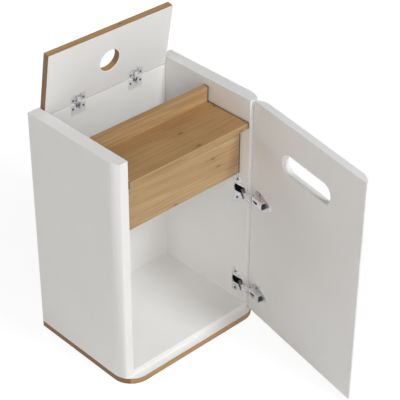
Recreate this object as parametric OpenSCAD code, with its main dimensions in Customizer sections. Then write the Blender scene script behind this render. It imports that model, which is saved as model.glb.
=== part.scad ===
// Small bathroom cabinet: rounded white body on an oak-edged base, a slotted front door on
// two cup hinges, an oak tray at the top and a flap lid over a bin behind it.
// Millimetres, +Z up, front towards -Y. The origin is the centre of the base's underside.
// Everything on the door and the lid is drawn closed and then swung to where it stands.

/* [Body] */
// Width over the side panels
body_w = 400; // [360:5:480]
// Depth of the base and of the closed cabinet
body_d = 300; // [285:5:360]
// Height of the side panels above the floor
body_h = 567; // [540:1:680]
// Radius of the two front corners
corner_r = 50; // [40:1:56]
// Thickness of the base board
base_t = 14; // [13:1:20]
// Thickness of the side panels
side_t = 30; // [26:1:36]
// Thickness of the back panel
back_t = 14; // [13:0.5:20]
// Thickness of the floor board
floor_t = 13; // [9:1:18]
// Thickness of the oak edging round the base
band_t = 1; // [0.6:0.1:2]
// Height of the edging's lower edge above the floor
band_foot = 0.5; // [0.3:0.1:2]

/* [Door] */
// Thickness of the door
door_t = 18; // [16:0.5:20]
// Gap between the closed door and the fronts of the side panels
door_gap = 2.3; // [2.1:0.1:4]
// Gap between the door and the base
door_foot_gap = 1; // [0.5:0.5:5]
// Rise of the door's top above the side panels
door_rise = 1; // [0:0.5:3]
// Radius of the eased edges at the door's ends
door_edge_r = 1.5; // [0.8:0.1:2]
// Angle at which the door stands open
door_open = 80; // [0:1:90]
// Length of the hand slot
slot_len = 160; // [120:2:190]
// Height of the hand slot
slot_h = 46; // [34:1:56]
// Depth of the slot's centre below the door's top
slot_drop = 95; // [70:1:140]
// Radius of the slot's softened rim
slot_rim_r = 3; // [1:0.5:4]

/* [Tray and bin] */
// Drop from the side panels' tops to the tray's floor
tray_drop = 53; // [40:1:70]
// Thickness of the oak boards
oak_t = 14; // [12:0.5:18]
// Gap between the oak boards and the side panels
oak_gap = 2; // [1:0.5:3]
// Setback of the tray from the side panels' fronts
tray_inset = 1; // [0.5:0.5:6]
// Height of the apron under the tray
apron_h = 124; // [90:1:150]
// Setback of the apron from the side panels' fronts
apron_setback = 26; // [18:1:50]
// Thickness of the bin's floor
bin_floor_t = 12; // [10:0.5:16]

/* [Lid] */
// Thickness of the lid
lid_t = 16; // [15:0.5:20]
// Depth of the lid from front to back
lid_len = 154; // [140:1:170]
// Gap at each end of the lid
lid_side_gap = 1.5; // [1:0.5:3]
// Gap between the closed lid and what it rests over
lid_rest_gap = 0.8; // [0.2:0.1:1.5]
// Angle at which the lid stands open
lid_open = 80; // [0:1:90]
// Diameter of the finger hole
finger_d = 52; // [36:1:64]
// Radius of the finger hole's softened rim
finger_rim_r = 1.5; // [0.5:0.5:3]
// Thickness of the white lining under the lid
lining_t = 0.8; // [0.5:0.1:1.2]
// Radius of the lid's rounded heel
heel_r = 2.5; // [2:0.5:4]
// Distance of the lid's turning axis from its rear edge
lid_axis_in = 8.15; // [7.8:0.05:8.8]
// Distance of the lid's turning axis from its underside
lid_axis_up = 8.85; // [8.5:0.05:9.5]

/* [Door hinges] */
// Distance of the upper hinge's middle below the apron's foot
upper_hinge_drop = 43; // [42:1:76]
// Height of the lower hinge
lower_hinge_z = 80; // [70:1:130]
// Diameter of the hinge cup
cup_d = 35; // [34:0.5:38]
// Depth of the hinge cup
cup_depth = 12; // [11.5:0.5:14]
// Distance of the cup's centre behind the side panel's front
cup_setback = 25; // [24.5:0.5:28]
// Length of the cup's screw flange
flange_len = 65; // [62:1:72]
// Width of the cup's screw flange
flange_w = 18; // [16:0.5:22]
// Thickness of the cup's screw flange
flange_t = 1.2; // [0.8:0.1:1.6]
// Spacing of the flange's two screws
flange_pitch = 48; // [45:0.5:52]
// Depth of the cup pin behind the side panel's face
cup_pin_in = 7.5; // [7:0.5:8]
// Distance of the cup pin in front of the cup's centre
cup_pin_fore = 11; // [10:0.5:11]
// Reach of the cup link from its pin to its knee
knee_reach = 11; // [10.5:0.5:13]
// Distance of the arm pin inside the side panel's face, door closed
arm_pin_out = 4.5; // [4.5:0.5:6]
// Height of the arm pin above the door's inner face
arm_pin_h = 11; // [10:0.5:12]
// Distance of the door's turning axis from the door's rear edge
door_axis_in = 5.8; // [5:0.1:6.2]
// Depth of the door's turning axis in from the door's inner face
door_axis_back = 7; // [6.5:0.1:7.5]
// Spacing of the mounting plate's two screws
plate_pitch = 32; // [30:0.5:36]

/* [Lid hinges] */
// Distance of each lid hinge from the middle of the lid
lid_hinge_x = 80; // [60:1:120]
// Width of a lid hinge
leaf_w = 40; // [38:1:50]
// Height of the hinge's lower leaf, on the back panel
base_leaf_h = 25.5; // [24:0.5:32]
// Height of the hinge's upper leaf, in the lid
lid_leaf_h = 20.5; // [20:0.5:28]
// Thickness of both leaves
leaf_t = 1.5; // [1.2:0.1:1.8]
// Diameter of the round cup behind the upper leaf
lid_cup_d = 22.4; // [21.8:0.2:23]

/* [Fastenings] */
// Diameter of the carcass dowels
dowel_d = 8; // [6:1:10]
// Diameter of the thin dowels in the back and the tray
thin_dowel_d = 6; // [5:0.5:6.5]
// Length of every dowel
dowel_len = 30; // [24:1:34]
// Shank diameter of the base screws
base_screw_d = 4.5; // [4:0.5:6]
// Length of the base screws
base_screw_len = 45; // [30:1:60]
// Distance of the back panel's lower screws from the middle
back_screw_x = 90; // [60:5:140]
// Distance of the floor board's screws from the middle, sideways
floor_screw_x = 120; // [80:5:140]
// Distance of the floor board's screws from the middle, front to back
floor_screw_y = 80; // [50:5:100]
// Height of the uppermost back dowels above the apron's foot
back_dowel_rise = 90; // [60:5:110]
// Length of the door hinges' screws in the boards
hinge_screw_len = 13; // [10:0.5:14]

/* [Hidden] */
$fn = 64;

// Colours, as they look in daylight
white = [0.93, 0.93, 0.92];
oak = [0.74, 0.58, 0.40];
beech = [0.82, 0.68, 0.48];
chrome = [0.80, 0.80, 0.82];
steel = [0.62, 0.62, 0.64];
black = [0.08, 0.08, 0.08];

// Clearances
hair = 0.05; // round a screw or a dowel in its hole
run_fit = 0.06; // round a pin in what turns on it
slip = 0.4; // between plates that pass each other
over = 1; // how far a cut runs past the surface that it starts from
waist = 0.03; // how far a link's straight sides lie inside its round ends

// Body
half_w = body_w / 2;
half_d = body_d / 2;
inner_x = half_w - side_t;
panel_front = -half_d + door_t + door_gap;
back_face = half_d - back_t;
floor_z = base_t + floor_t;

// Lid, closed
lid_z = body_h - lid_t;
lid_front = half_d - lid_len;
lid_w = 2 * (inner_x - lid_side_gap);
lid_axis = [half_d - lid_axis_in, lid_z + lid_axis_up];
heel_reach = norm([lid_axis_in - heel_r, lid_axis_up - heel_r]) + heel_r;
back_top = lid_axis.y - max(heel_reach, lid_axis_in) - slip;

// Tray and bin
shelf_z = body_h - tray_drop;
shelf_front = panel_front + tray_inset;
upstand_back = lid_front + oak_t;
upstand_top = lid_z - lid_rest_gap;
apron_front = panel_front + apron_setback;
apron_foot = shelf_z - oak_t - apron_h;
oak_w = 2 * (inner_x - oak_gap);

// Door, closed
door_back = -half_d + door_t;
door_z = base_t + door_foot_gap;
door_h = body_h + door_rise - door_z;
corner_y = -half_d + corner_r;
// x of the sharp corner where the rounded end meets the inner face
door_end_x = half_w - corner_r + sqrt(pow(corner_r, 2) - pow(corner_y - door_back, 2));
door_axis = [door_end_x - door_axis_in, door_back - door_axis_back];
slot_z = body_h + door_rise - slot_drop;

// Cup hinges: the cup pin, the arm pin with the door closed, and the elbow between them.
// Cup link and arm link make a parallelogram with the door's axis as its fourth corner.
upper_hinge_z = apron_foot - upper_hinge_drop;
hinge_zs = [upper_hinge_z, lower_hinge_z];
cup_y = panel_front + cup_setback;
cup_r = cup_d / 2;
cup_wall = 1;
cup_pin = [inner_x + cup_pin_in, cup_y - cup_pin_fore];
arm_pin = [inner_x - arm_pin_out, door_back + arm_pin_h];
elbow_pin = cup_pin + arm_pin - door_axis;
cup_knee = cup_pin + [-1.5, knee_reach];
flange_front = cup_y - 1;
flange_screw_y = cup_y + 6;
pin_r = 1.5;
link_r = 2.6;
sleeve_r = 2.3;
link_t = 1.4;
arm_link_z = 7.7;
cup_link_z = arm_link_z - link_t - slip;
arm_inside_z = arm_link_z + slip;
arm_wall = 1.2;
arm_z = arm_inside_z + arm_wall;
cheek_z = 9.4;
arm_top_h = 14.8;
arm_top_t = 1.5;
// Distances along the door from the side panel's face, door closed
arm_start = arm_pin_out + link_r + 1.5;
arm_end = 41;
arm_slot_start = arm_start + 1.2;
arm_slot_end = 26;
arm_slot_r = 3.3;
block_start = 10;
block_end = 29;
block_h = 9.5;
slide_w = 10;
slide_start = block_start - 0.6;
foot_start = 9.5;
foot_end = 57;
foot_h = 3;
foot_r = 8;
wing_start = 1.5;
wing_end = 32;
wing_len = plate_pitch + 8;
wing_h = 2;
plate_screw_at = 20;
lock_screw_at = 40;
lock_seat_h = 4.5;
lock_head_r = 6;
side_screw_at = 20.5;

// Lid hinges: base pin in the back panel, leaf pin in the closed lid, elbow between them,
// as [y, z]. Again a parallelogram with the lid's axis as its fourth corner.
base_pin_in = 3.8;
base_pin_down = 13;
leaf_pin_in = 19.5;
leaf_pin_up = 2.8;
base_pin = [back_face + base_pin_in, lid_z - base_pin_down];
leaf_pin = [half_d - leaf_pin_in, lid_z + leaf_pin_up];
lid_elbow = base_pin + leaf_pin - lid_axis;
lid_pin_r = 1.2;
lid_link_r = 2.2;
lid_sleeve_r = 1.9;
lid_link_t = 1.2;
lid_web_start = 4.5;
lid_web_len = norm(leaf_pin - lid_elbow) - lid_web_start - 6;
inner_link_x = 3.8;
outer_link_x = inner_link_x + slip + lid_link_t;
ear_x = outer_link_x + 1;
ear_t = 1.2;
mouth_x = ear_x - 0.2;
pocket_x = ear_x + ear_t + 0.3;
pocket_deep = 9;
heel_notch_h = 4.2;
leaf_top = back_top - 0.5;
leaf_rear = half_d - heel_r - 0.3;
leaf_front = leaf_rear - lid_leaf_h;
leaf_corner_r = 5;
leaf_screw_x = 14;
leaf_screw_r = 1.3;
leaf_screw_len = 8;
base_leaf_screw_z = leaf_top - 9.5;
lid_leaf_screw_y = leaf_rear - 6.5;
lid_cup_r = lid_cup_d / 2;
lid_cup_wall = 0.8;
lid_cup_h = 10;
lid_cup_y = leaf_front + lid_cup_r - 1.4;

// Dowels and base screws
side_mid_x = half_w - side_t / 2;
back_mid_y = half_d - back_t / 2;
front_dowel_in = 45;
rear_dowel_in = 35;
base_dowel_ys = [panel_front + front_dowel_in, 20, half_d - rear_dowel_in];
back_dowel_zs = [120, 290, apron_foot + back_dowel_rise];
shelf_dowel_fore = 30;
shelf_dowel_aft = 20;
apron_dowel_in = 25;
bin_dowel_in = 40;
tray_dowel_spots = [
    [shelf_front + shelf_dowel_fore, shelf_z - oak_t / 2],
    [lid_front - shelf_dowel_aft, shelf_z - oak_t / 2],
    [lid_front + oak_t / 2, (shelf_z + upstand_top) / 2],
    [apron_front + oak_t / 2, apron_foot + apron_dowel_in],
    [apron_front + oak_t / 2, shelf_z - oak_t - apron_dowel_in],
    [apron_front + oak_t + bin_dowel_in, apron_foot + bin_floor_t / 2],
    [back_face - bin_dowel_in, apron_foot + bin_floor_t / 2]
];
front_screw_in = 80;
rear_screw_in = 75;
base_screw_spots = [
    for (side = [-1, 1]) for (y = [panel_front + front_screw_in, half_d - rear_screw_in]) [side * side_mid_x, y],
    for (side = [-1, 1]) [side * back_screw_x, back_mid_y]
];
floor_screw_spots = [
    for (side = [-1, 1]) for (end = [-1, 1]) [side * floor_screw_x, end * floor_screw_y]
];
screw_head_r = 4;
screw_head_h = 2.6;
pilot_r = 1.7;

// The cabinet's outline seen from above, drawn in by an inset all round
module plan_outline(inset = 0) {
    r = corner_r - inset;
    translate([-half_w + inset, corner_y]) square([body_w - 2 * inset, half_d - corner_y - inset]);
    translate([-half_w + corner_r, -half_d + inset])
        square([body_w - 2 * corner_r, body_d - 2 * inset]);
    for (side = [-1, 1]) translate([side * (half_w - corner_r), corner_y]) circle(r = r, $fn = 128);
}

// A rectangle with round corners, centred
module round_rect(w, h, r) {
    square([w - 2 * r, h], center = true);
    square([w, h - 2 * r], center = true);
    for (x = [-1, 1], y = [-1, 1]) translate([x * (w / 2 - r), y * (h / 2 - r)]) circle(r = r);
}

// A leaf with round corners at its far end only, from the hinge's joint at y = 0 up to y = h
module leaf_2d(w, h, r, grow = 0) {
    translate([0, h / 2]) round_rect(w + 2 * grow, h + 2 * grow, r);
    translate([-w / 2 - grow, -grow]) square([w + 2 * grow, h / 2]);
}

// A bar with round ends from a to b
module bar_2d(a, b, r) {
    d = b - a;
    translate(a) circle(r = r);
    translate(b) circle(r = r);
    translate(a) rotate(atan2(d.y, d.x)) translate([0, waist - r]) square([norm(d), 2 * (r - waist)]);
}

// A flat shape drawn in [y, z], run along X from x0 to x1
module along_x(x0, x1) {
    translate([x0, 0, 0]) rotate([90, 0, 90]) linear_extrude(x1 - x0) children();
}

// A board standing on edge or lying flat, from corner to corner
module board(low, high) {
    translate(low) cube(high - low);
}

// A cylinder along X, centred on [y, z]
module x_rod(at, r, x0, x1) {
    translate([x0, at.x, at.y]) rotate([0, 90, 0]) cylinder(r = r, h = x1 - x0);
}

// Swings what is drawn with the door closed to where the door stands
module on_door() {
    translate([door_axis.x, door_axis.y, 0]) rotate([0, 0, door_open])
        translate([-door_axis.x, -door_axis.y, 0]) children();
}

// Swings what is drawn with the lid closed to where the lid stands
module on_lid() {
    translate([0, lid_axis.x, lid_axis.y]) rotate([-lid_open, 0, 0])
        translate([0, -lid_axis.x, -lid_axis.y]) children();
}

// Turns a cup link with the door about its own pin
module on_cup_link() {
    translate([cup_pin.x, cup_pin.y, 0]) rotate([0, 0, door_open])
        translate([-cup_pin.x, -cup_pin.y, 0]) children();
}

// Turns an arm link back on the swung door, so that it keeps its direction
module on_arm_link() {
    on_door() translate([arm_pin.x, arm_pin.y, 0]) rotate([0, 0, -door_open])
        translate([-arm_pin.x, -arm_pin.y, 0]) children();
}

// Turns a lid hinge's base link with the lid about its own pin
module on_base_link() {
    translate([0, base_pin.x, base_pin.y]) rotate([-lid_open, 0, 0])
        translate([0, -base_pin.x, -base_pin.y]) children();
}

// Turns a lid hinge's leaf link back on the swung lid
module on_leaf_link() {
    on_lid() translate([0, leaf_pin.x, leaf_pin.y]) rotate([lid_open, 0, 0])
        translate([0, -leaf_pin.x, -leaf_pin.y]) children();
}

// Dowels that stand in the base and the side panels
module base_dowels(grow = 0) {
    for (side = [-1, 1]) for (y = base_dowel_ys)
        translate([side * side_mid_x, y, base_t - dowel_len / 3 - grow])
            cylinder(d = dowel_d + 2 * grow, h = dowel_len + 2 * grow);
}

// Dowels that lie across the joint between the side panels and the back panel
module back_dowels(grow = 0) {
    for (side = [-1, 1]) for (z = back_dowel_zs)
        x_rod([back_mid_y, z], thin_dowel_d / 2 + grow,
            side * inner_x - dowel_len / 2 - grow, side * inner_x + dowel_len / 2 + grow);
}

// Dowels that carry the oak boards and the bin's floor between the side panels
module oak_dowels(grow = 0) {
    for (side = [-1, 1]) for (spot = tray_dowel_spots)
        x_rod(spot, thin_dowel_d / 2 + grow,
            side * inner_x - dowel_len / 2 - grow, side * inner_x + dowel_len / 2 + grow);
}

// A countersunk screw driven up from the underside, without its drive recess
module rising_screw(len, grow = 0) {
    cylinder(r1 = screw_head_r + grow, r2 = base_screw_d / 2 + grow, h = screw_head_h);
    cylinder(d = base_screw_d + 2 * grow, h = len + grow);
}

// All the screws in the underside of the base
module screws_from_below(grow = 0) {
    for (spot = base_screw_spots) translate([spot.x, spot.y, 0]) rising_screw(base_screw_len, grow);
    for (spot = floor_screw_spots) translate([spot.x, spot.y, 0])
        rising_screw(floor_z - 2, grow);
}

// A cross recess in a screw head, opening upwards from z = 0
module cross_recess(w, deep) {
    for (turn = [0, 90]) rotate(turn) translate([0, 0, -deep / 2 + 0.25])
        cube([w, w / 4, deep + 0.5], center = true);
}

// A small pan-head screw pointing down from its seat at z = 0
module pan_screw(head_r, head_h, shank_r, len) {
    difference() {
        union() {
            cylinder(r = head_r, h = head_h);
            translate([0, 0, -len]) cylinder(r = shank_r, h = len + head_h / 2);
        }
        translate([0, 0, head_h]) cross_recess(head_r * 1.3, head_h * 0.6);
    }
}

// Places where the flange screws enter the right panel, pointing out of its face
module at_flange_screws() {
    for (z = hinge_zs) for (side = [-1, 1])
        translate([inner_x, flange_screw_y, z + side * flange_pitch / 2]) rotate([0, -90, 0])
            children();
}

// Places where the mounting plate screws enter the closed door, pointing out of its face
module at_plate_screws() {
    for (z = hinge_zs) for (side = [-1, 1])
        translate([inner_x - plate_screw_at, door_back, z + side * plate_pitch / 2]) rotate([-90, 0, 0])
            children();
}

// The hole in a board for one of these screws
module hinge_pilot() {
    translate([0, 0, -hinge_screw_len - 1]) cylinder(r = pilot_r + hair, h = hinge_screw_len + 1 + over);
}

// The hole in a board for a lid hinge's screw
module leaf_pilot() {
    translate([0, 0, -leaf_screw_len - 1]) cylinder(r = leaf_screw_r + hair, h = leaf_screw_len + 1 + over);
}

// The inner ring of a rim, rounded over at height t, for a hole of radius r
module rim_profile(r, rim, t) {
    difference() {
        translate([r - 0.2, t - rim]) square([rim + 0.2, rim + over]);
        translate([r + rim, t - rim]) circle(r = rim);
        translate([r + rim, t]) square([over, over]);
    }
}

// A round hole through z = 0 to t with both rims softened
module round_hole_cut(r, rim, t) {
    translate([0, 0, -over]) cylinder(r = r, h = t + 2 * over);
    rotate_extrude() rim_profile(r, rim, t);
    translate([0, 0, t]) mirror([0, 0, 1]) rotate_extrude() rim_profile(r, rim, t);
}

// A long hole with round ends through z = 0 to t with both rims softened
module long_hole_cut(len, h, rim, t) {
    run = len - h;
    for (side = [-1, 1]) translate([side * run / 2, 0, 0]) round_hole_cut(h / 2, rim, t);
    translate([-run / 2, -h / 2, -over]) cube([run, h, t + 2 * over]);
    for (side = [0, 1]) mirror([0, side, 0]) for (face = [0, 1])
        translate([0, 0, face * t]) mirror([0, 0, face])
            along_x(-run / 2, run / 2) rim_profile(h / 2, rim, t);
}

// What is taken off the sharp edge at one end of the door, seen from above
module eased_edge_cut() {
    o = [half_w - corner_r, corner_y];
    e = door_edge_r;
    f = [o.x + sqrt(pow(corner_r - e, 2) - pow(o.y - door_back + e, 2)), door_back - e];
    on_face = [f.x, door_back];
    on_arc = o + (f - o) * corner_r / (corner_r - e);
    tip = f + ([door_end_x, door_back] - f) * 1.6;
    difference() {
        polygon([f, on_face, tip, on_arc]);
        translate(f) circle(r = e);
    }
}

module base_board() color(white) difference() {
    linear_extrude(base_t) plan_outline(band_t);
    base_dowels(hair);
    screws_from_below(hair);
}

module base_edge_band() color(oak) translate([0, 0, band_foot]) linear_extrude(base_t - band_foot)
    difference() {
        plan_outline();
        plan_outline(band_t);
    }

module floor_board() color(white) difference() {
    board([-inner_x, panel_front, base_t], [inner_x, back_face, floor_z]);
    screws_from_below(hair);
}

// One side panel, on the left for side = -1 and on the right for side = 1
module side_panel(side) {
    difference() {
        translate([0, 0, base_t]) linear_extrude(body_h - base_t) intersection() {
            plan_outline();
            translate([side > 0 ? inner_x : -half_w, panel_front])
                square([side_t, half_d - panel_front]);
        }
        base_dowels(hair);
        back_dowels(hair);
        oak_dowels(hair);
        screws_from_below(hair);
    }
}

module left_side_panel() color(white) side_panel(-1);

module right_side_panel() color(white) difference() {
    side_panel(1);
    for (z = hinge_zs) translate([inner_x - over, cup_y, z]) rotate([0, 90, 0])
        cylinder(r = cup_r + hair, h = cup_depth + hair + over);
    at_flange_screws() hinge_pilot();
}

module back_panel() color(white) difference() {
    board([-inner_x, back_face, base_t], [inner_x, half_d, back_top]);
    back_dowels(hair);
    screws_from_below(hair);
    for (side = [-1, 1]) translate([side * lid_hinge_x, 0, 0]) {
        board([-pocket_x, back_face - over, base_pin.y - 7.5],
            [pocket_x, back_face + pocket_deep, back_top + over]);
        at_base_leaf_screws() leaf_pilot();
    }
}

module tray_shelf() color(oak) difference() {
    board([-oak_w / 2, shelf_front, shelf_z - oak_t], [oak_w / 2, upstand_back, shelf_z]);
    oak_dowels(hair);
}

module tray_upstand() color(oak) difference() {
    board([-oak_w / 2, lid_front, shelf_z], [oak_w / 2, upstand_back, upstand_top]);
    oak_dowels(hair);
}

module tray_apron() color(oak) difference() {
    board([-oak_w / 2, apron_front, apron_foot], [oak_w / 2, apron_front + oak_t, shelf_z - oak_t]);
    oak_dowels(hair);
}

module bin_floor() color(white) difference() {
    board([-oak_w / 2, apron_front + oak_t, apron_foot],
        [oak_w / 2, back_face, apron_foot + bin_floor_t]);
    oak_dowels(hair);
}

module carcass_dowels() color(beech) {
    base_dowels();
    back_dowels();
}

module tray_dowels() color(beech) oak_dowels();

module base_screws() color(steel) difference() {
    screws_from_below();
    for (spot = concat(base_screw_spots, floor_screw_spots)) translate([spot.x, spot.y, 0])
        mirror([0, 0, 1]) cross_recess(4.4, 1.8);
}

module door_panel() color(white) on_door() difference() {
    translate([0, 0, door_z]) linear_extrude(door_h) difference() {
        intersection() {
            plan_outline();
            translate([-half_w, -half_d]) square([body_w, door_t]);
        }
        for (side = [0, 1]) mirror([side, 0]) eased_edge_cut();
    }
    translate([0, -half_d, slot_z]) rotate([-90, 0, 0]) long_hole_cut(slot_len, slot_h, slot_rim_r, door_t);
    at_plate_screws() hinge_pilot();
}

// A hinge cup sunk in the right panel, with its screw flange and two flat cheeks that hold its pin
module hinge_cup(z) {
    color(chrome) translate([0, 0, z]) difference() {
        union() {
            translate([inner_x, cup_y, 0]) rotate([0, 90, 0]) cylinder(r = cup_r, h = cup_depth);
            translate([inner_x - 0.6, cup_y, 0]) rotate([0, 90, 0]) cylinder(r = cup_r + 0.8, h = 0.6);
            translate([inner_x - flange_t, flange_front + flange_w / 2, 0]) rotate([0, 90, 0])
                linear_extrude(flange_t) round_rect(flange_len, flange_w, 6);
        }
        intersection() {
            translate([inner_x - flange_t - over, cup_y, 0]) rotate([0, 90, 0])
                cylinder(r = cup_r - cup_wall, h = cup_depth - cup_wall + flange_t + over);
            translate([inner_x - flange_t - 2 * over, cup_y - cup_r, -cheek_z])
                cube([cup_depth + flange_t + 2 * over, cup_d, 2 * cheek_z]);
        }
        for (side = [-1, 1])
            translate([inner_x - flange_t - over, flange_screw_y, side * flange_pitch / 2])
                rotate([0, 90, 0]) cylinder(r = pilot_r + 0.4, h = flange_t + 2 * over);
        translate([cup_pin.x, cup_pin.y, -cheek_z - 1.5]) cylinder(r = pin_r, h = 2 * cheek_z + 3);
    }
}

module upper_hinge_cup() hinge_cup(upper_hinge_z);

module lower_hinge_cup() hinge_cup(lower_hinge_z);

module hinge_cup_screws() color(steel) at_flange_screws()
    translate([0, 0, flange_t]) pan_screw(3.3, 1.1, pilot_r, hinge_screw_len + flange_t);

// A plain pin along Z at each door hinge, with a small head at both ends
module hinge_pins(at, reach, head_r, head_h) {
    for (z = hinge_zs) translate([at.x, at.y, z]) {
        translate([0, 0, -reach]) cylinder(r = pin_r, h = 2 * reach);
        for (side = [0, 1]) mirror([0, 0, side]) translate([0, 0, reach]) cylinder(r = head_r, h = head_h);
    }
}

module hinge_cup_pins() color(steel) for (z = hinge_zs)
    translate([cup_pin.x, cup_pin.y, z - cheek_z - 1.5]) cylinder(r = pin_r, h = 2 * cheek_z + 3);

// The link on the cup pin: two plates on a sleeve, bent at a knee to clear the cup's rim
module cup_link(z) {
    color(steel) on_cup_link() translate([0, 0, z]) difference() {
        union() {
            translate([cup_pin.x, cup_pin.y, -cheek_z + slip])
                cylinder(r = sleeve_r, h = 2 * (cheek_z - slip));
            for (side = [0, 1]) mirror([0, 0, side]) translate([0, 0, cup_link_z - link_t])
                linear_extrude(link_t) {
                    bar_2d(cup_pin, cup_knee, link_r);
                    bar_2d(cup_knee, elbow_pin, link_r);
                }
        }
        translate([cup_pin.x, cup_pin.y, -cheek_z]) cylinder(r = pin_r + run_fit, h = 2 * cheek_z);
        translate([elbow_pin.x, elbow_pin.y, -cheek_z]) cylinder(r = pin_r, h = 2 * cheek_z);
    }
}

module upper_cup_link() cup_link(upper_hinge_z);

module lower_cup_link() cup_link(lower_hinge_z);

module hinge_elbow_pins() color(steel) on_cup_link()
    hinge_pins(elbow_pin, arm_link_z + slip / 2, 2.1, 0.6);

// The link on the arm pin: two plates joined by a web along the side away from the cup
module arm_link(z) {
    d = arm_pin - elbow_pin;
    web_start = link_r + 0.4;
    web_len = norm(d) - arm_top_h + arm_pin_h - link_r - web_start;
    color(chrome) on_arm_link() translate([0, 0, z]) difference() {
        union() {
            translate([arm_pin.x, arm_pin.y, -arm_link_z + link_t / 2])
                cylinder(r = sleeve_r, h = 2 * arm_link_z - link_t);
            for (side = [0, 1]) mirror([0, 0, side]) translate([0, 0, arm_link_z - link_t])
                linear_extrude(link_t) {
                    bar_2d(elbow_pin, arm_pin, link_r);
                    translate(elbow_pin) rotate(atan2(d.y, d.x)) translate([web_start, -link_r - 1])
                        square([web_len, link_r + 1]);
                }
            translate([elbow_pin.x, elbow_pin.y, -arm_link_z + link_t / 2]) rotate(atan2(d.y, d.x))
                translate([web_start + 0.2, -link_r - 0.9, 0])
                    cube([web_len - 0.4, 1.2, 2 * arm_link_z - link_t]);
        }
        translate([arm_pin.x, arm_pin.y, -cheek_z]) cylinder(r = pin_r + run_fit, h = 2 * cheek_z);
        translate([elbow_pin.x, elbow_pin.y, -cheek_z]) cylinder(r = pin_r + run_fit, h = 2 * cheek_z);
    }
}

module upper_arm_link() arm_link(upper_hinge_z);

module lower_arm_link() arm_link(lower_hinge_z);

module hinge_arm_pins() color(steel) on_door() hinge_pins(arm_pin, arm_z, 2.2, 0.6);

// Turns a shape drawn in [distance from the panel's face, height above the door] into a plate
// that lies across Z from z0 to z1
module on_door_face(z0, z1) {
    translate([inner_x, door_back, z0]) mirror([1, 0, 0]) linear_extrude(z1 - z0) children();
}

// The hinge arm: a channel with its open side to the door, slotted on top and open at its end
module hinge_arm(z) {
    color(chrome) on_door() translate([0, 0, z]) difference() {
        union() {
            for (side = [0, 1]) mirror([0, 0, side]) on_door_face(arm_inside_z, arm_z) {
                translate([arm_pin_out, arm_pin_h]) circle(r = 3.2);
                translate([arm_pin_out, foot_h + 0.3])
                    square([arm_end - arm_pin_out, arm_pin_h - foot_h]);
                translate([arm_start, foot_h + 0.3])
                    square([arm_end - arm_start, arm_top_h - foot_h - 0.3]);
            }
            on_door_face(-arm_z, arm_z) translate([arm_start, arm_top_h - arm_top_t])
                square([arm_end - arm_start, arm_top_t]);
        }
        translate([inner_x, door_back, 0]) mirror([1, 0, 0]) rotate([-90, 0, 0]) {
            translate([0, 0, foot_h]) linear_extrude(arm_top_h)
                bar_2d([arm_slot_start + arm_slot_r, 0], [arm_slot_end - arm_slot_r, 0], arm_slot_r);
        }
        translate([arm_pin.x, arm_pin.y, -arm_z - over]) cylinder(r = pin_r, h = 2 * (arm_z + over));
    }
}

module upper_hinge_arm() hinge_arm(upper_hinge_z);

module lower_hinge_arm() hinge_arm(lower_hinge_z);

// The mounting plate's wings: wide at the hinge's pins and narrowing to the foot's round end
module wings_2d() {
    wing_corner = [wing_end - foot_r, wing_len / 2 - foot_r];
    foot_middle = [foot_end - foot_r, 0];
    translate([(wing_start + wing_end) / 2, 0]) rotate(90)
        round_rect(wing_len, wing_end - wing_start, foot_r);
    polygon([wing_corner, foot_middle, [wing_corner.x, -wing_corner.y]]);
    for (side = [0, 1]) mirror([0, side]) bar_2d(wing_corner, foot_middle, foot_r);
}

// The mounting plate: a long foot with a round end, a block under the arm and two screw wings
module mounting_plate(z) {
    color(chrome) on_door() translate([inner_x, door_back, z]) mirror([1, 0, 0])
        rotate([-90, 0, 0]) difference() {
            union() {
                linear_extrude(foot_h) {
                    translate([foot_start, -foot_r])
                        square([foot_end - foot_r - foot_start, 2 * foot_r]);
                    translate([foot_end - foot_r, 0]) circle(r = foot_r);
                }
                linear_extrude(wing_h) wings_2d();
                translate([block_start, -arm_inside_z + slip, 0])
                    cube([block_end - block_start, 2 * (arm_inside_z - slip), block_h]);
                translate([block_end - 1, -slide_w / 2, 0])
                    cube([lock_screw_at - block_end + 4, slide_w, lock_seat_h]);
            }
            for (side = [-1, 1]) translate([plate_screw_at, side * plate_pitch / 2, -over])
                cylinder(r = pilot_r + 0.4, h = wing_h + 2 * over);
            translate([lock_screw_at, 0, 1]) cylinder(r = pilot_r + hair, h = 10);
            translate([side_screw_at, 0, 4]) cylinder(r = pilot_r + hair, h = 10);
        }
}

module upper_mounting_plate() mounting_plate(upper_hinge_z);

module lower_mounting_plate() mounting_plate(lower_hinge_z);

module mounting_plate_screws() color(steel) on_door() at_plate_screws()
    translate([0, 0, wing_h]) pan_screw(3.2, 1.5, pilot_r, hinge_screw_len + wing_h);

// Draws something at each hinge on the closed door, a distance along the arm, heights upwards
module at_arm(along) {
    for (z = hinge_zs) translate([inner_x - along, door_back, z]) rotate([-90, 0, 0]) children();
}

module hinge_slides() color(black) on_door() at_arm(slide_start) mirror([1, 0, 0]) difference() {
    translate([0, -slide_w / 2, block_h])
        cube([arm_slot_end + 1 - slide_start, slide_w, arm_top_h - arm_top_t - 0.3 - block_h]);
    translate([side_screw_at - slide_start, 0, block_h - over]) cylinder(r = 2.5 + hair, h = 10);
}

module hinge_side_screws() color(black) on_door() at_arm(side_screw_at)
    translate([0, 0, block_h]) pan_screw(2.5, arm_top_h - arm_top_t / 2 - block_h, pilot_r, 5);

module hinge_lock_screws() color(black) on_door() at_arm(lock_screw_at)
    translate([0, 0, lock_seat_h])
        pan_screw(lock_head_r, arm_top_h - arm_top_t - 0.8 - lock_seat_h, pilot_r, 3);

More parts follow.
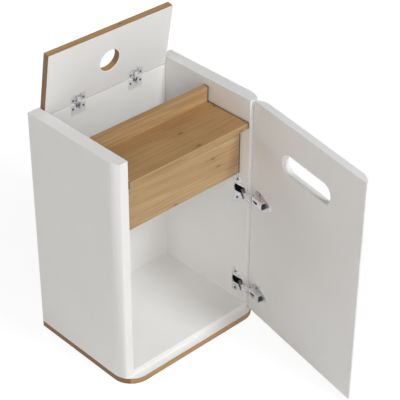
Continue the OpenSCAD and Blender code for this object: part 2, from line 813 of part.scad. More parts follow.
// The lid from the side, closed, between two heights, with its heel rounded
module lid_profile(z0, z1) {
    intersection() {
        translate([lid_front, z0]) square([lid_len, z1 - z0]);
        union() {
            translate([half_d - heel_r, lid_z + heel_r]) circle(r = heel_r);
            translate([lid_front - over, lid_z - over]) square([lid_len + over - heel_r, lid_t + 2 * over]);
            translate([lid_front - over, lid_z + heel_r]) square([lid_len + 2 * over, lid_t]);
        }
    }
}

// What is taken out of the lid for both hinges and the finger hole
module lid_cuts() {
    translate([0, lid_front + lid_len / 2, lid_z]) round_hole_cut(finger_d / 2, finger_rim_r, lid_t);
    for (side = [-1, 1]) translate([side * lid_hinge_x, 0, 0]) {
        translate([0, 0, lid_z - over]) linear_extrude(leaf_t + over) lid_leaf_outline(hair);
        translate([0, lid_cup_y, lid_z - over])
            cylinder(r = lid_cup_r + hair, h = lid_cup_h + hair + over);
        board([-mouth_x, leaf_rear - 1, lid_z - over], [mouth_x, half_d + over, lid_z + heel_notch_h]);
        at_lid_leaf_screws() leaf_pilot();
    }
}

module lid_board() color(oak) on_lid() difference() {
    along_x(-lid_w / 2, lid_w / 2) lid_profile(lid_z + lining_t, body_h);
    lid_cuts();
}

module lid_lining() color(white) on_lid() difference() {
    along_x(-lid_w / 2, lid_w / 2) lid_profile(lid_z, lid_z + lining_t);
    lid_cuts();
}

// Outline of a lid hinge's upper leaf, with its cup, on the underside of the closed lid
module lid_leaf_outline(grow = 0) {
    translate([0, leaf_rear]) mirror([0, 1]) leaf_2d(leaf_w, lid_leaf_h, leaf_corner_r, grow);
    translate([0, lid_cup_y]) circle(r = lid_cup_r + grow);
}

// Places of the screws in a lid hinge's lower leaf, pointing out of the back panel
module at_base_leaf_screws() {
    for (side = [-1, 1]) translate([side * leaf_screw_x, back_face, base_leaf_screw_z])
        rotate([90, 0, 0]) children();
}

// Places of the screws in a lid hinge's upper leaf, pointing out of the closed lid's underside
module at_lid_leaf_screws() {
    for (side = [-1, 1]) translate([side * leaf_screw_x, lid_leaf_screw_y, lid_z + leaf_t])
        rotate([180, 0, 0]) children();
}

// The lower leaf of a lid hinge, on the back panel, with two ears that hold its pin
module lid_hinge_base(side) {
    color(chrome) translate([side * lid_hinge_x, 0, 0]) difference() {
        union() {
            translate([0, back_face, leaf_top]) rotate([90, 0, 0]) linear_extrude(leaf_t)
                mirror([0, 1]) leaf_2d(leaf_w, base_leaf_h, leaf_corner_r);
            for (turn = [0, 1]) mirror([turn, 0, 0]) along_x(ear_x, ear_x + ear_t) {
                translate(base_pin) circle(r = 3.2);
                translate([back_face - leaf_t, base_pin.y - 3.2])
                    square([base_pin.x - back_face + leaf_t, 6.4]);
            }
        }
        board([-mouth_x, back_face - leaf_t - over, base_pin.y - 7],
            [mouth_x, back_face + over / 2, leaf_top + over]);
        x_rod(base_pin, lid_pin_r, -pocket_x, pocket_x);
        at_base_leaf_screws() cylinder(r = pilot_r, h = leaf_t + over);
    }
}

module left_lid_hinge_base() lid_hinge_base(-1);

module right_lid_hinge_base() lid_hinge_base(1);

// The upper leaf of a lid hinge, let in flush with the lid's underside, with a round cup behind
// it in which two ears hold the pin
module lid_hinge_leaf(side) {
    color(chrome) on_lid() translate([side * lid_hinge_x, 0, 0]) difference() {
        union() {
            difference() {
                union() {
                    translate([0, 0, lid_z]) linear_extrude(leaf_t) lid_leaf_outline();
                    translate([0, lid_cup_y, lid_z + leaf_t / 2])
                        cylinder(r = lid_cup_r - hair, h = lid_cup_h - leaf_t / 2);
                }
                translate([0, lid_cup_y, lid_z - over])
                    cylinder(r = lid_cup_r - lid_cup_wall, h = lid_cup_h - lid_cup_wall + over);
            }
            intersection() {
                translate([0, lid_cup_y, lid_z + 0.3])
                    cylinder(r = lid_cup_r - lid_cup_wall / 2, h = lid_cup_h - lid_cup_wall);
                for (turn = [0, 1]) mirror([turn, 0, 0]) along_x(ear_x, ear_x + ear_t)
                    translate([leaf_front, lid_z]) square([leaf_pin.x + 3 - leaf_front, lid_cup_h]);
            }
        }
        board([-mouth_x, lid_cup_y, lid_z - over], [mouth_x, half_d + over, lid_z + heel_notch_h]);
        x_rod(leaf_pin, lid_pin_r, -pocket_x, pocket_x);
        at_lid_leaf_screws() translate([0, 0, -over]) cylinder(r = pilot_r, h = leaf_t + 2 * over);
    }
}

module left_lid_hinge_leaf() lid_hinge_leaf(-1);

module right_lid_hinge_leaf() lid_hinge_leaf(1);

// A link for a lid hinge: two plates on a sleeve round its own pin, holed for the elbow pin, and
// where asked a web between them along the front
module lid_link(own_pin, plate_x, elbow_r, web_len = 0) {
    d = own_pin - lid_elbow;
    difference() {
        union() {
            x_rod(own_pin, lid_sleeve_r, -ear_x + slip, ear_x - slip);
            for (turn = [0, 1]) mirror([turn, 0, 0]) along_x(plate_x - lid_link_t, plate_x) {
                bar_2d(own_pin, lid_elbow, lid_link_r);
                if (web_len > 0) translate(lid_elbow) rotate(atan2(d.y, d.x))
                    translate([lid_web_start, 0]) square([web_len, lid_link_r + 0.8]);
            }
            if (web_len > 0) along_x(-plate_x + lid_link_t / 2, plate_x - lid_link_t / 2)
                translate(lid_elbow) rotate(atan2(d.y, d.x))
                    translate([lid_web_start + 0.2, lid_link_r - 0.4]) square([web_len - 0.4, 1]);
        }
        x_rod(own_pin, lid_pin_r + run_fit, -ear_x, ear_x);
        x_rod(lid_elbow, elbow_r, -ear_x, ear_x);
    }
}

module lid_base_links() color(steel) on_base_link() for (side = [-1, 1])
    translate([side * lid_hinge_x, 0, 0]) lid_link(base_pin, outer_link_x, lid_pin_r);

module lid_leaf_links() color(steel) on_leaf_link() for (side = [-1, 1])
    translate([side * lid_hinge_x, 0, 0])
        lid_link(leaf_pin, inner_link_x, lid_pin_r + run_fit, lid_web_len);

module lid_base_pins() color(steel) for (side = [-1, 1]) translate([side * lid_hinge_x, 0, 0])
    x_rod(base_pin, lid_pin_r, -ear_x - ear_t, ear_x + ear_t);

module lid_leaf_pins() color(steel) on_lid() for (side = [-1, 1]) translate([side * lid_hinge_x, 0, 0])
    x_rod(leaf_pin, lid_pin_r, -ear_x - ear_t, ear_x + ear_t);

module lid_elbow_pins() color(steel) on_base_link() for (side = [-1, 1])
    translate([side * lid_hinge_x, 0, 0]) {
        x_rod(lid_elbow, lid_pin_r, -outer_link_x, outer_link_x);
        for (turn = [0, 1]) mirror([turn, 0, 0])
            x_rod(lid_elbow, 1.7, outer_link_x, outer_link_x + 0.4);
    }

module lid_base_screws() color(steel) for (side = [-1, 1]) translate([side * lid_hinge_x, 0, 0])
    at_base_leaf_screws() translate([0, 0, leaf_t])
        pan_screw(2.7, 0.9, leaf_screw_r, leaf_screw_len + leaf_t);

module lid_leaf_screws() color(steel) on_lid() for (side = [-1, 1])
    translate([side * lid_hinge_x, 0, 0]) at_lid_leaf_screws()
        translate([0, 0, leaf_t]) pan_screw(2.7, 0.9, leaf_screw_r, leaf_screw_len + leaf_t);

base_board();
base_edge_band();
floor_board();
left_side_panel();
right_side_panel();
back_panel();
tray_shelf();
tray_upstand();
tray_apron();
bin_floor();
carcass_dowels();
tray_dowels();
base_screws();
door_panel();
upper_hinge_cup();
lower_hinge_cup();
hinge_cup_screws();
hinge_cup_pins();
upper_cup_link();
lower_cup_link();
hinge_elbow_pins();
upper_arm_link();
lower_arm_link();
hinge_arm_pins();
upper_hinge_arm();
lower_hinge_arm();
upper_mounting_plate();
lower_mounting_plate();
mounting_plate_screws();
hinge_slides();
hinge_side_screws();
hinge_lock_screws();
lid_board();
lid_lining();
left_lid_hinge_base();
right_lid_hinge_base();
left_lid_hinge_leaf();
right_lid_hinge_leaf();
lid_base_links();
lid_leaf_links();
lid_base_pins();
lid_elbow_pins();
lid_leaf_pins();
lid_base_screws();
lid_leaf_screws();
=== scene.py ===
"""Looks, light and camera for the bathroom cabinet: white foil boards, oak boards, nickel hinges."""
import math

import bpy
from mathutils import Matrix, Vector


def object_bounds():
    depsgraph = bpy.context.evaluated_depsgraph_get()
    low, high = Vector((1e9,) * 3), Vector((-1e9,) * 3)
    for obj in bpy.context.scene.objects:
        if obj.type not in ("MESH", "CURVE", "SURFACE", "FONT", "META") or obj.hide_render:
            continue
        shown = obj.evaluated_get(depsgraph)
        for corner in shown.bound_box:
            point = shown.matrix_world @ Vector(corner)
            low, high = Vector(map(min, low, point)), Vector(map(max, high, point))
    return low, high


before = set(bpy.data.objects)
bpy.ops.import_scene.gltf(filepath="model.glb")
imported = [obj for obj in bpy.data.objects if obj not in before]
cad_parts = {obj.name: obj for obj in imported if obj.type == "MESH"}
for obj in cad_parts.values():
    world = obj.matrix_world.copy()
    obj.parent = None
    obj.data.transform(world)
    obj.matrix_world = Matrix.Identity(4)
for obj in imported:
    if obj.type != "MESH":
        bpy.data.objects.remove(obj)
cad_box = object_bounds()

# Camera: where it stands, in metres, how it looks, in degrees, its lens, in millimetres, and how
# far it sees, in metres
CAMERA_AT = Vector((-1.64349, -1.88688, 2.04850))
LOOK_RIGHT = 43.529
LOOK_DOWN = 34.489
ROLL = 0.330
SENSOR = 36.0
FOCAL = 125.65
CLIP_END = 50.0

# Lamps: the way to each from the middle of the cabinet's box, its width in metres, its power and
# its colour, and how far off all of them stand
LAMPS = {
    "front_lamp": ((0.10, -0.71, 0.70), 0.7, 104.0, (0.93, 0.97, 1.0)),
    "left_fill": ((-0.95, -0.20, 0.35), 3.0, 6.0, (1.0, 0.98, 0.96)),
    "front_fill": ((-0.20, -0.60, 0.80), 3.0, 27.0, (1.0, 1.0, 1.0)),
    "front_left_fill": ((-0.64, -0.71, 0.40), 3.0, 73.0, (1.0, 0.96, 0.94)),
    "left_back_fill": ((-0.75, 0.60, 0.35), 3.0, 27.0, (1.0, 0.99, 0.96)),
    "back_fill": ((0.0, 0.95, 0.35), 3.0, 42.0, (1.0, 0.95, 0.90)),
}
LAMP_FAR = 4.5

# Room: the colour and level of its light, which comes from all round
ROOM_COLOUR = (1.0, 0.992, 0.98, 1.0)
ROOM_LEVEL = 0.03

# Floor: its side in metres and the grey that it throws light back with. Where it is seen it
# scatters little and glows, and the glow grows between two distances from the base's middle.
FLOOR_SIDE = 30.0
FLOOR_GREY = (226, 226, 226)
FLOOR_SEEN = (0.14, 0.14, 0.14, 1.0)
GLOW_AWAY = (0.5, 1.8)
GLOW_LEVEL = (0.90, 1.0)

# The tone of the glow, and of the room where it is seen
WHITE = (1.0, 1.0, 1.0, 1.0)

# Eased edges: their width in metres and steps, the least angle of an edge in degrees, and the
# distance in metres within which corners count as one
EASE_WIDTH = 0.0008
EASE_STEPS = 2
EASE_ANGLE = 40.0
WELD_WITHIN = 0.00001

# How far behind the side panel's inner face shade is painted into a hinge cup, in metres
SHADE_IN = 0.0005

# The width of the painted shade along the tray boards' ends, in the gap to the side panel, in metres
GAP_SHADE_WIDTH = 0.003

# A face belongs to an end, a front or a heel if its normal goes that way by more than this
FACING = 0.7

# The lid stands open by this much, in degrees, so its own directions are turned by as much. The
# other boards' directions are those of the cabinet.
LID_OPEN = 80.0
NO_TURN = (0.0, 0.0, 0.0)

# Colours as they look in daylight, in 0 to 255
WHITE_FOIL = (243, 242, 240)
WORN_FOIL = (240, 239, 237)
OAK_LIGHT = (184, 146, 98)
OAK_MIDDLE = (170, 130, 82)
OAK_DARK = (140, 100, 60)
# The apron's tones, also laid on the tray's front faces: paler partly from the apron's own veneer and
# partly from painted sheen that front-facing faces catch
APRON_LIGHT = (190, 160, 119)
APRON_MIDDLE = (177, 146, 104)
APRON_DARK = (156, 120, 78)
# Bare end grain, also used as painted shade in the gap along the tray boards' ends
END_GRAIN_AND_GAP_SHADE = (104, 72, 44)
KNOT = (92, 62, 38)
BEECH = (210, 174, 124)
BEECH_DARK = (190, 150, 102)
NICKEL = (243, 243, 245)
WORN_NICKEL = (228, 228, 231)
SATIN_NICKEL = (240, 240, 241)
WORN_SATIN = (230, 230, 232)
ZINC = (150, 150, 152)
WORN_ZINC = (138, 138, 141)
# Painted shade for a hinge cup's depth
HOLLOW_SHADE = (58, 58, 54)
# Black that paints shade in the arms' slots and open ends
SHADE_BLACK = (30, 30, 31)
WORN_BLACK = (44, 44, 45)

# The share of a metal's look that mirrors: the rest scatters light as paint does
BRIGHT_SHARE = 0.7
SATIN_SHARE = 0.2

# Oak patterns: how fast each changes per metre, along the board and across it both ways, and the
# rings along the board and outwards from the log's heart
SWAY_RATE = (3.5, 9.0, 9.0)
STREAK_RATE = (6.0, 240.0, 240.0)
PORE_RATE = (60.0, 1500.0, 1500.0)
RING_RATE = (1.6, 52.0)

# How far the rings sway, in metres, and how far the log leans for each metre of board
SWAY_SIZE = (0.0, 0.03, 0.03)
LOG_LEAN = (0.0, 0.05, 0.07)

# Knots: how close their places lie, how far they stray, the draw above which a place has one, and
# the distances between which a knot's heart and halo fade
KNOT_ALONG = 8.0
KNOT_ACROSS = (0.0, 19.0, 31.0)
KNOT_STRAY = 0.85
KNOT_DRAW = 0.72
HEART_FADE = (0.075, 0.03)
HALO_FADE = (0.26, 0.05)

# The values between which each oak pattern comes in, and the share that it has then
RING_BAND = (0.38, 0.62)
STREAK_BAND = (0.44, 0.70)
PORE_BAND = (0.60, 0.72)
STREAK_SHARE = 0.62
PORE_SHARE = 0.22
HALO_SHARE = 0.25
HEART_SHARE = 0.7

# The share of bare wood's tone on a board's end, and of the painted shade in the same tone along the
# tray boards' ends
END_SHARE = 0.6
GAP_SHADE_SHARE = 0.85

# Oak foil's roughness, how much the streaks add to it, and the streaks' height beside the pores'
OAK_ROUGH = 0.42
STREAK_ROUGH = 0.2
STREAK_HEIGHT = 0.5

# Other surfaces: slow waves per metre, the values between which wear comes in, the middle of the
# waves, and fine peel per metre
WAVE_RATE = 7.0
WEAR_BAND = (0.35, 0.7)
WAVE_MIDDLE = 0.5
PLATE_PEEL = 500.0
PLAIN_PEEL = 900.0
BLACK_PEEL = 2200.0

# How strongly light bends into foil and into the black steel that paints shade on the hinges' slides
# and screws
FOIL_IOR = 1.45
BLACK_IOR = 1.5


def reach(name):
    """The least and the greatest X of a CAD node, in its own directions."""
    across = [corner.co.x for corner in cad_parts[name].data.vertices]
    return min(across), max(across)


def daylight(colour):
    """A colour in 0 to 255 as the shader wants it."""
    def linear(part):
        part /= 255.0
        return part / 12.92 if part <= 0.04045 else ((part + 0.055) / 1.055) ** 2.4
    return tuple(linear(part) for part in colour) + (1.0,)


def fill(made, values):
    """Sets a node's inputs to numbers or colours, or links them to other sockets."""
    for name, value in values.items():
        socket = made.inputs[name]
        if isinstance(value, bpy.types.NodeSocket):
            made.id_data.links.new(value, socket)
        else:
            socket.default_value = value


def put(tree, kind, values=None, **settings):
    """Adds one shader node with its settings and inputs."""
    made = tree.nodes.new("ShaderNode" + kind)
    for name, value in settings.items():
        setattr(made, name, value)
    fill(made, values or {})
    return made


def math_of(tree, operation, first, second=0.0):
    """One sum, product or the like of two numbers."""
    return put(tree, "Math", {0: first, 1: second}, operation=operation).outputs[0]


def vector_of(tree, operation, *vectors):
    """The outputs of one sum, product or the like of vectors."""
    return put(tree, "VectorMath", dict(enumerate(vectors)), operation=operation).outputs


def blend_colours(tree, share, first, second):
    """Two colours mixed by a share."""
    return put(tree, "Mix", {0: share, 6: first, 7: second}, data_type="RGBA").outputs[2]


def lay_over(tree, tone, colour, mask, share):
    """A tone with a colour laid over it by a share of a mask."""
    return blend_colours(tree, math_of(tree, "MULTIPLY", mask, share), tone, colour)


def band(tree, value, low, high):
    """A number taken from low..high to 0..1 and kept there."""
    made = put(tree, "MapRange", {"Value": value, "From Min": low, "From Max": high}, clamp=True)
    return made.outputs[0]


def noise(tree, vector, detail, scale=1.0):
    """The outputs of a soft noise."""
    return put(tree, "TexNoise", {"Vector": vector, "Scale": scale, "Detail": detail}).outputs


def stretched_noise(tree, place, rate, detail):
    """The outputs of a soft noise that changes at its own rate each way."""
    return noise(tree, vector_of(tree, "MULTIPLY", place, rate)[0], detail)


def new_group(name, inputs, outputs):
    """An empty node group with named sockets, given as name: kind."""
    group = bpy.data.node_groups.new(name, "ShaderNodeTree")
    for in_out, sockets in (("INPUT", inputs), ("OUTPUT", outputs)):
        for title, kind in sockets.items():
            group.interface.new_socket(title, in_out=in_out, socket_type="NodeSocket" + kind)
    return group, group.nodes.new("NodeGroupInput").outputs, group.nodes.new("NodeGroupOutput")


def ring_noise(tree, place, along):
    """Broad rings round the heart of a log that sways and leans a little."""
    sway = stretched_noise(tree, place, SWAY_RATE, detail=2.0)["Color"]
    across = vector_of(tree, "MULTIPLY", place, (0.0, 1.0, 1.0))[0]
    bend = vector_of(tree, "MULTIPLY_ADD", sway, SWAY_SIZE, across)[0]
    lean = put(tree, "CombineXYZ", {side: math_of(tree, "MULTIPLY", along, LOG_LEAN[side])
                                    for side in (1, 2)}).outputs[0]
    from_heart = vector_of(tree, "LENGTH", vector_of(tree, "ADD", bend, lean)[0])["Value"]
    drawn = put(tree, "CombineXYZ", {0: math_of(tree, "MULTIPLY", along, RING_RATE[0]),
                                     1: math_of(tree, "MULTIPLY", from_heart, RING_RATE[1])})
    return noise(tree, drawn.outputs[0], detail=3.0)[0]


def knot_masks(tree, place, along, size):
    """Where the small knots have their heart and where their halo."""
    across = vector_of(tree, "DOT_PRODUCT", place, KNOT_ACROSS)["Value"]
    spots_at = put(tree, "CombineXYZ", {0: math_of(tree, "MULTIPLY", along, KNOT_ALONG), 1: across})
    spots = put(tree, "TexVoronoi", {"Vector": spots_at.outputs[0], "Scale": 1.0,
                                     "Randomness": KNOT_STRAY},
                feature="F1", voronoi_dimensions="2D").outputs
    draw = put(tree, "SeparateColor", {0: spots["Color"]}).outputs[0]
    drawn = math_of(tree, "GREATER_THAN", draw, KNOT_DRAW)
    near = math_of(tree, "DIVIDE", spots["Distance"], size)
    return [math_of(tree, "MULTIPLY", band(tree, near, *fade), drawn)
            for fade in (HEART_FADE, HALO_FADE)]


def make_oak_grain():
    """Oak cut from a log that leans a little: growth rings, fine streaks, pores and small knots."""
    group, given, out = new_group(
        "oak_grain",
        {"Position": "Vector", "Light": "Color", "Middle": "Color", "Dark": "Color",
         "Knot": "Color", "Knot Size": "Float"},
        {"Color": "Color", "Height": "Float", "Roughness": "Float"})
    place = given["Position"]
    along = put(group, "SeparateXYZ", {0: place}).outputs[0]
    rings = band(group, ring_noise(group, place, along), *RING_BAND)
    streak = stretched_noise(group, place, STREAK_RATE, detail=3.0)[0]
    pores = band(group, stretched_noise(group, place, PORE_RATE, detail=2.0)[0], *PORE_BAND)
    heart, halo = knot_masks(group, place, along, given["Knot Size"])
    tone = blend_colours(group, rings, given["Middle"], given["Light"])
    tone = lay_over(group, tone, given["Dark"], band(group, streak, *STREAK_BAND), STREAK_SHARE)
    tone = lay_over(group, tone, given["Dark"], pores, PORE_SHARE)
    tone = lay_over(group, tone, given["Dark"], halo, HALO_SHARE)
    tone = lay_over(group, tone, given["Knot"], heart, HEART_SHARE)
    raised = math_of(group, "MULTIPLY", streak, STREAK_HEIGHT)
    rough = math_of(group, "MULTIPLY", streak, STREAK_ROUGH)
    fill(out, {"Color": tone, "Height": math_of(group, "SUBTRACT", raised, pores),
               "Roughness": math_of(group, "ADD", rough, OAK_ROUGH)})
    return group


def make_surface_unevenness():
    """Slow waves and fine orange peel, as a tone, a change of roughness and a height."""
    group, given, out = new_group(
        "surface_unevenness",
        {"Position": "Vector", "Colour": "Color", "Worn": "Color", "Peel": "Float",
         "Roughness": "Float", "Roughness Change": "Float"},
        {"Color": "Color", "Height": "Float", "Roughness": "Float"})
    slow = noise(group, given["Position"], detail=3.0, scale=WAVE_RATE)[0]
    peel = noise(group, given["Position"], detail=2.0, scale=given["Peel"])[0]
    tone = blend_colours(group, band(group, slow, *WEAR_BAND), given["Colour"], given["Worn"])
    wave = math_of(group, "SUBTRACT", slow, WAVE_MIDDLE)
    change = math_of(group, "MULTIPLY", wave, given["Roughness Change"])
    fill(out, {"Color": tone, "Height": peel,
               "Roughness": math_of(group, "ADD", given["Roughness"], change)})
    return group


OAK_GRAIN = make_oak_grain()
UNEVENNESS = make_surface_unevenness()


def new_material(name):
    """A material with an empty tree, its output and its surface shader."""
    material = bpy.data.materials.new(name)
    material.use_nodes = True
    tree = material.node_tree
    tree.nodes.clear()
    shader = put(tree, "BsdfPrincipled")
    out = put(tree, "OutputMaterial", {"Surface": shader.outputs[0]})
    out.is_active_output = True
    return material, tree, shader


def use_group(tree, group, values):
    """Places a node group with its values."""
    return put(tree, "Group", values, node_tree=group).outputs


def position(tree, turn=NO_TURN):
    """The place on the piece, in metres, turned into its own directions."""
    place = put(tree, "TexCoord").outputs["Object"]
    if turn == NO_TURN:
        return place
    return put(tree, "VectorRotate", {"Vector": place, "Rotation": turn},
               rotation_type="EULER_XYZ").outputs[0]


def bump(tree, shader, height, strength, distance):
    """Gives the shader a bumpy normal."""
    made = put(tree, "Bump", {"Height": height, "Strength": strength, "Distance": distance})
    fill(shader, {"Normal": made.outputs[0]})


def uneven(tree, colour, worn, roughness, change, peel):
    """The uneven tone, height and roughness of a plain surface."""
    return use_group(tree, UNEVENNESS, {
        "Position": position(tree), "Colour": daylight(colour), "Worn": daylight(worn),
        "Peel": peel, "Roughness": roughness, "Roughness Change": change})


def white_foil():
    """Satin white foil on the boards."""
    material, tree, shader = new_material("white_foil")
    shown = uneven(tree, WHITE_FOIL, WORN_FOIL, roughness=0.44, change=0.10, peel=PLAIN_PEEL)
    fill(shader, {"Base Color": shown["Color"], "Roughness": shown["Roughness"], "IOR": FOIL_IOR,
                  "Specular IOR Level": 0.35})
    bump(tree, shader, shown["Height"], strength=0.06, distance=0.0002)
    return material


def grain_place(tree, turn, shift, at_end):
    """The place on a board along its grain, which runs with the edge on the board's ends."""
    place = vector_of(tree, "ADD", position(tree, turn), shift)[0]
    apart = put(tree, "SeparateXYZ", {0: place}).outputs
    along_edge = put(tree, "CombineXYZ", {0: apart[1], 1: apart[2], 2: apart[0]}).outputs[0]
    return put(tree, "Mix", {0: at_end, 4: place, 5: along_edge}, data_type="VECTOR").outputs[1]


def end_grain_and_gap_shade(tree, at_end, gap_shade):
    """How much bare wood's tone shows: some on a board's ends, and most where shade is painted along
    the tray boards' ends.
    """
    bare = math_of(tree, "MULTIPLY", at_end, END_SHARE)
    if not gap_shade:
        return bare
    # Painted shade: the tray boards' ends are darkened where the gap to the side panel lies in shade
    out_by = math_of(tree, "ABSOLUTE", put(tree, "SeparateXYZ", {0: position(tree)}).outputs[0])
    in_gap_shade = math_of(tree, "GREATER_THAN", out_by, reach("tray_shelf")[1] - GAP_SHADE_WIDTH)
    return math_of(tree, "MAXIMUM", bare, math_of(tree, "MULTIPLY", in_gap_shade, GAP_SHADE_SHARE))


def oak(name, turn=NO_TURN, shift=(0.0, 0.0, 0.0), light=OAK_LIGHT, middle=OAK_MIDDLE,
        dark=OAK_DARK, knots=1.0, front=None, heel=None, gap_shade=False):
    """Oak foil with its grain along the board, or beech with the same grain.

    The board's front edge may have its own light and middle tone, paler partly from its veneer and
    partly from painted sheen, and its heel, which looks down in the rest pose, a plain colour. Along
    the tray boards' ends, shade is painted where the gap to the side panel lies.
    """
    material, tree, shader = new_material(name)
    facing = put(tree, "SeparateXYZ", {0: put(tree, "TexCoord").outputs["Normal"]}).outputs
    at_end = math_of(tree, "GREATER_THAN", math_of(tree, "ABSOLUTE", facing[0]), FACING)
    tones = [daylight(light), daylight(middle)]
    if front:
        # Faces that look forward take the apron's paler tones: partly veneer, partly painted sheen
        at_front = math_of(tree, "LESS_THAN", facing[1], -FACING)
        tones = [blend_colours(tree, at_front, tone, daylight(own))
                 for tone, own in zip(tones, front)]
    shown = use_group(tree, OAK_GRAIN, {
        "Position": grain_place(tree, turn, shift, at_end), "Light": tones[0], "Middle": tones[1],
        "Dark": daylight(dark), "Knot": daylight(KNOT), "Knot Size": knots})
    tone = blend_colours(tree, end_grain_and_gap_shade(tree, at_end, gap_shade), shown["Color"], daylight(END_GRAIN_AND_GAP_SHADE))
    if heel:
        at_heel = math_of(tree, "LESS_THAN", facing[2], -FACING)
        tone = blend_colours(tree, at_heel, tone, daylight(heel))
    fill(shader, {"Base Color": tone, "Roughness": shown["Roughness"], "IOR": FOIL_IOR})
    bump(tree, shader, shown["Height"], strength=0.22, distance=0.0002)
    return material


def metal(name, colour, worn, roughness, peel, share=BRIGHT_SHARE, shade_from=None):
    """A plated or plain metal with a slightly uneven polish.

    Past a given X, which is where the cup's shaded depth starts, shade is painted: the metal turns
    dark there.
    """
    material, tree, shader = new_material(name)
    shown = uneven(tree, colour, worn, roughness, change=0.25, peel=peel)
    tone = shown["Color"]
    if shade_from:
        # Painted shade: the cup's depth beyond that X is darkened, as shade falls there
        across = put(tree, "SeparateXYZ", {0: position(tree)}).outputs[0]
        in_shade = math_of(tree, "GREATER_THAN", across, shade_from)
        tone = blend_colours(tree, in_shade, tone, daylight(HOLLOW_SHADE))
    fill(shader, {"Base Color": tone, "Roughness": shown["Roughness"], "Metallic": share})
    bump(tree, shader, shown["Height"], strength=0.08, distance=0.0001)
    return material


def shade_black_steel():
    """Matt black on the screws and slides: painted shade, which darkens the arm's slot and open end.
    """
    material, tree, shader = new_material("shade_black_steel")
    shown = uneven(tree, SHADE_BLACK, WORN_BLACK, roughness=0.42, change=0.2, peel=BLACK_PEEL)
    fill(shader, {"Base Color": shown["Color"], "Roughness": shown["Roughness"], "IOR": BLACK_IOR})
    bump(tree, shader, shown["Height"], strength=0.1, distance=0.0001)
    return material


def dress(material, *nodes):
    """Gives CAD nodes a material."""
    for name in nodes:
        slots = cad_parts[name].data.materials
        slots.clear()
        slots.append(material)


def soften(*nodes):
    """Eases the nodes' edges."""
    for name in nodes:
        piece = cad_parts[name]
        weld = piece.modifiers.new("weld", "WELD")
        weld.merge_threshold = WELD_WITHIN
        ease = piece.modifiers.new("ease", "BEVEL")
        ease.width = EASE_WIDTH
        ease.segments = EASE_STEPS
        ease.limit_method = "ANGLE"
        ease.angle_limit = math.radians(EASE_ANGLE)
        ease.harden_normals = True


def dress_boards():
    """Foil on the boards, oak on the tray, the apron, the lid and the base's edge, beech dowels."""
    dress(white_foil(), "base_board", "floor_board", "left_side_panel", "right_side_panel",
          "back_panel", "bin_floor", "door_panel", "lid_lining")
    # Front faces take the apron's tones: partly their veneer, partly painted sheen
    front_tone_and_sheen = (APRON_LIGHT, APRON_MIDDLE)
    # The tray's boards get painted shade along their ends, where the gap to the side panel lies
    dress(oak("oak_tray", shift=(0.31, 0.07, 0.02), front=front_tone_and_sheen, gap_shade=True), "tray_shelf")
    dress(oak("oak_upstand", shift=(0.83, 0.42, 0.13), front=front_tone_and_sheen, gap_shade=True), "tray_upstand")
    dress(oak("oak_apron", shift=(0.12, 0.35, 0.48), light=APRON_LIGHT, middle=APRON_MIDDLE,
              dark=APRON_DARK, gap_shade=True), "tray_apron")
    dress(oak("oak_lid", turn=(math.radians(LID_OPEN), 0.0, 0.0), shift=(0.55, 0.21, 0.33),
              heel=WHITE_FOIL), "lid_board")
    dress(oak("oak_edging", shift=(0.27, 0.0, 0.61), knots=0.4), "base_edge_band")
    dress(oak("beech", light=BEECH, middle=BEECH, dark=BEECH_DARK, knots=0.05),
          "carcass_dowels", "tray_dowels")


def dress_metal():
    """Bright nickel on the door's hinges, satin on the lid's, zinc or black on their small parts."""
    bright = {"roughness": 0.24, "peel": PLATE_PEEL}
    nickel = metal("nickel_plate", NICKEL, WORN_NICKEL, **bright)
    panel_face = reach("right_side_panel")[0]
    # The cup gets painted shade from just behind the panel's inner face on
    cup = metal("nickel_cup_shaded", NICKEL, WORN_NICKEL, shade_from=panel_face + SHADE_IN, **bright)
    satin = metal("satin_nickel", SATIN_NICKEL, WORN_SATIN, roughness=0.34, peel=PLATE_PEEL,
                  share=SATIN_SHARE)
    zinc = metal("zinc_steel", ZINC, WORN_ZINC, roughness=0.36, peel=PLAIN_PEEL)
    for place in ("upper", "lower"):
        dress(cup, f"{place}_hinge_cup")
        dress(nickel, f"{place}_arm_link", f"{place}_hinge_arm", f"{place}_mounting_plate")
        dress(zinc, f"{place}_cup_link")
    for place in ("left", "right"):
        dress(satin, f"{place}_lid_hinge_base", f"{place}_lid_hinge_leaf")
    dress(satin, "lid_leaf_links")
    dress(zinc, "base_screws", "hinge_cup_screws", "hinge_cup_pins", "hinge_elbow_pins",
          "hinge_arm_pins", "mounting_plate_screws", "lid_base_links", "lid_base_pins",
          "lid_elbow_pins", "lid_leaf_pins", "lid_base_screws", "lid_leaf_screws")
    # Black on the slides and lock screws is painted shade in the arm's slot and open end
    dress(shade_black_steel(), "hinge_slides", "hinge_side_screws", "hinge_lock_screws")


def seen_directly(tree):
    """1 for rays from the camera and for those mirrored or let through to it."""
    rays = put(tree, "LightPath").outputs
    first = math_of(tree, "MAXIMUM", rays["Is Camera Ray"], rays["Is Glossy Ray"])
    return math_of(tree, "MAXIMUM", first, rays["Is Transmission Ray"])


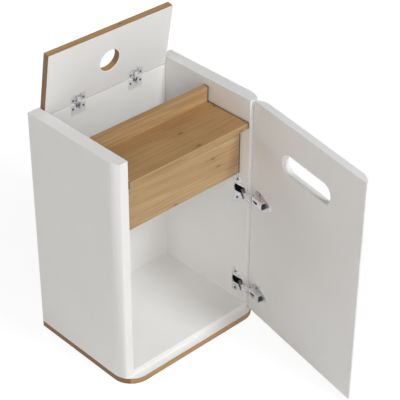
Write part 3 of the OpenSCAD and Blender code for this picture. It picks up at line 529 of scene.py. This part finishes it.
def make_floor():
    """A plain pale floor that keeps the cabinet's shadow and shows white elsewhere."""
    bpy.ops.mesh.primitive_plane_add(size=FLOOR_SIDE, location=(0.0, 0.0, 0.0))
    floor = bpy.context.active_object
    floor.name = "floor"
    material = bpy.data.materials.new("pale_floor")
    material.use_nodes = True
    tree = material.node_tree
    tree.nodes.clear()
    plain = put(tree, "BsdfDiffuse", {"Color": daylight(FLOOR_GREY)})
    dim = put(tree, "BsdfDiffuse", {"Color": FLOOR_SEEN})
    away = vector_of(tree, "LENGTH", put(tree, "NewGeometry").outputs["Position"])["Value"]
    level = put(tree, "MapRange", {"Value": away, "From Min": GLOW_AWAY[0], "From Max": GLOW_AWAY[1],
                                   "To Min": GLOW_LEVEL[0], "To Max": GLOW_LEVEL[1]}).outputs[0]
    glow = put(tree, "Emission", {"Color": WHITE, "Strength": level})
    bright = put(tree, "AddShader", {0: dim.outputs[0], 1: glow.outputs[0]})
    pick = put(tree, "MixShader", {0: seen_directly(tree), 1: plain.outputs[0], 2: bright.outputs[0]})
    put(tree, "OutputMaterial", {"Surface": pick.outputs[0]})
    floor.data.materials.append(material)


def make_world():
    """An even room that is white where it is seen and lights the cabinet at a plain level."""
    world = bpy.data.worlds.new("room")
    bpy.context.scene.world = world
    world.use_nodes = True
    tree = world.node_tree
    tree.nodes.clear()
    lit = put(tree, "Background", {"Color": ROOM_COLOUR, "Strength": ROOM_LEVEL})
    shown = put(tree, "Background", {"Color": WHITE, "Strength": 1.0})
    pick = put(tree, "MixShader", {0: seen_directly(tree), 1: lit.outputs[0], 2: shown.outputs[0]})
    put(tree, "OutputWorld", {"Surface": pick.outputs[0]})


def make_lamp(name, way, side, power, colour):
    """A broad soft lamp, turned to the middle of the cabinet's box."""
    data = bpy.data.lights.new(name, "AREA")
    data.shape = "SQUARE"
    data.size = side
    data.energy = power
    data.color = colour
    lamp = bpy.data.objects.new(name, data)
    bpy.context.scene.collection.objects.link(lamp)
    way = Vector(way).normalized()
    lamp.location = (cad_box[0] + cad_box[1]) / 2 + way * LAMP_FAR
    lamp.rotation_euler = way.to_track_quat("Z", "Y").to_euler()


def make_camera():
    """The camera, at the photograph's place and angle."""
    data = bpy.data.cameras.new("camera")
    data.sensor_fit = "HORIZONTAL"
    data.sensor_width = SENSOR
    data.lens = FOCAL
    data.clip_end = CLIP_END
    camera = bpy.data.objects.new("camera", data)
    bpy.context.scene.collection.objects.link(camera)
    turn = (Matrix.Rotation(math.radians(-LOOK_RIGHT), 4, "Z")
            @ Matrix.Rotation(math.radians(90.0 - LOOK_DOWN), 4, "X")
            @ Matrix.Rotation(math.radians(ROLL), 4, "Z"))
    camera.matrix_world = Matrix.Translation(CAMERA_AT) @ turn
    bpy.context.scene.camera = camera


dress_boards()
dress_metal()
soften("floor_board", "left_side_panel", "right_side_panel", "back_panel", "door_panel",
       "tray_shelf", "tray_upstand", "tray_apron", "bin_floor")
make_floor()
make_world()
for lamp_name, lamp_values in LAMPS.items():
    make_lamp(lamp_name, *lamp_values)
make_camera()
bpy.context.scene.view_settings.view_transform = "Standard"
